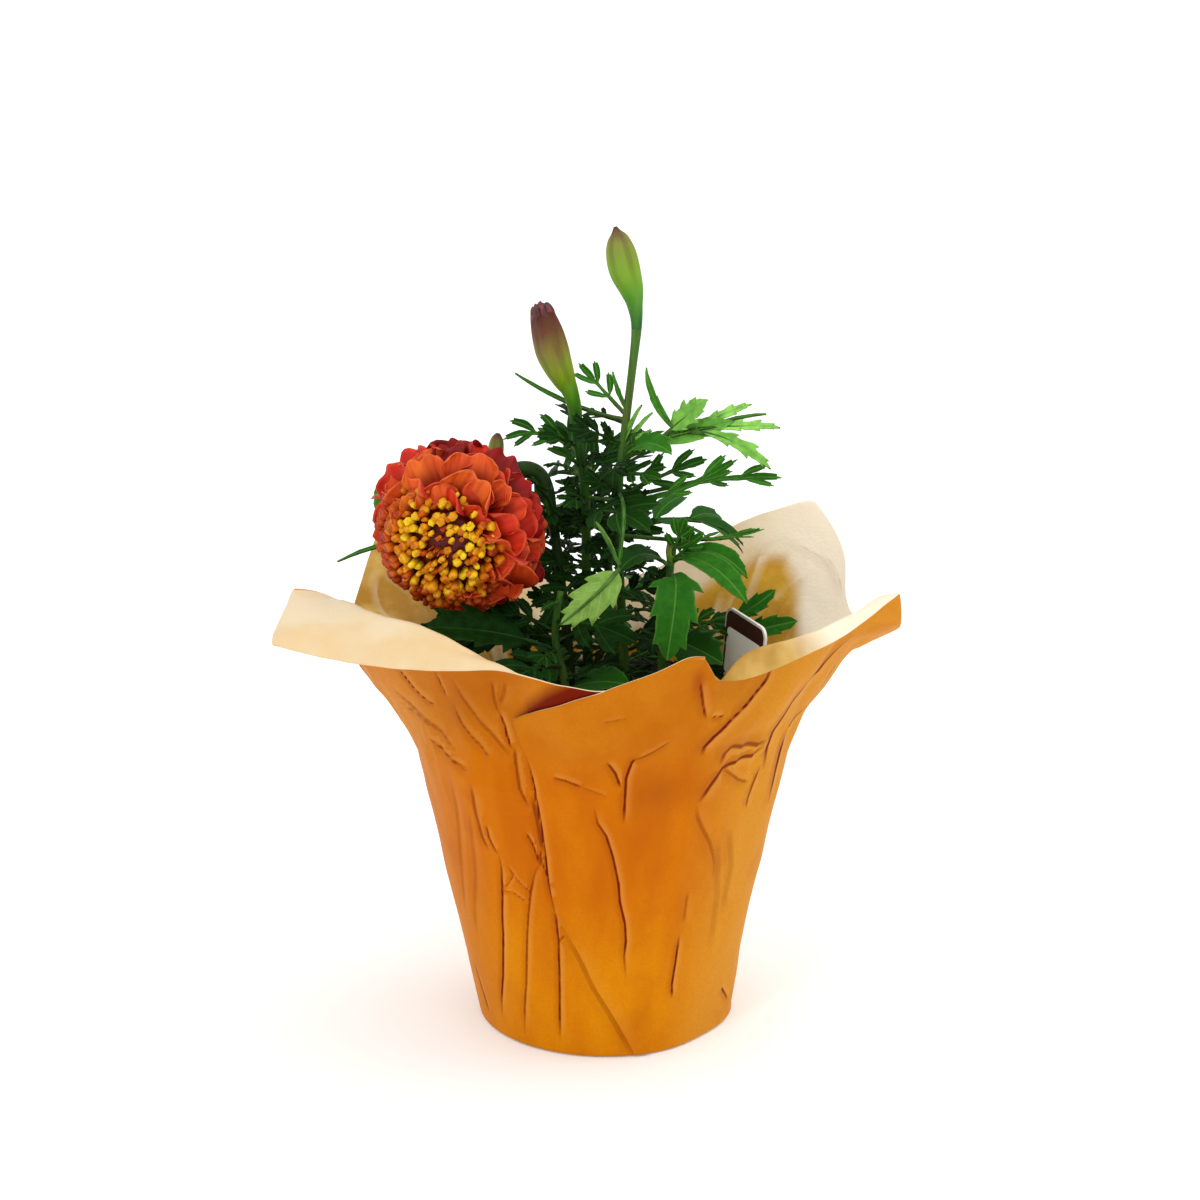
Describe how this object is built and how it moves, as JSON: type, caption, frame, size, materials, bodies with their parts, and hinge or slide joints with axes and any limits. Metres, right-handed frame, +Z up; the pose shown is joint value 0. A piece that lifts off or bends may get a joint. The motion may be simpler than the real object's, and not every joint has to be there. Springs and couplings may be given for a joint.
{
  "type": "potted marigold",
  "caption": "Flowering marigold with toothed feathery leaves, an open bloom and tall buds, in a nursery pot inside a flared paper pot cover.",
  "frame": {"origin": "centre of the flat bottom of the pot cover", "axes": "+Z up, -Y towards the front, where the bloom and the overlapping paper panel are, +X to the right"},
  "size_m": [0.1643, 0.1316, 0.2201],
  "materials": {
    "cover_paper": "satin",
    "pot_plastic": "matte",
    "soil": "matte",
    "tag_plastic": "satin",
    "leaf": "satin",
    "petal": "satin",
    "floret": "satin",
    "bud_petal": "matte"
  },
  "bodies": {
    "root": {"pot_cover": "cover_paper", "nursery_pot": "pot_plastic", "potting_soil": "soil", "plant_tag": "tag_plastic", "stem_right_bud": "leaf", "stem_left_bud": "leaf", "stem_bloom": "leaf", "stem_right": "leaf", "stem_front": "leaf", "stem_back": "leaf", "stem_left": "leaf", "bloom_petals": "petal", "bloom_florets": "floret", "left_bud_petals": "bud_petal"}
  },
  "joints": []
}
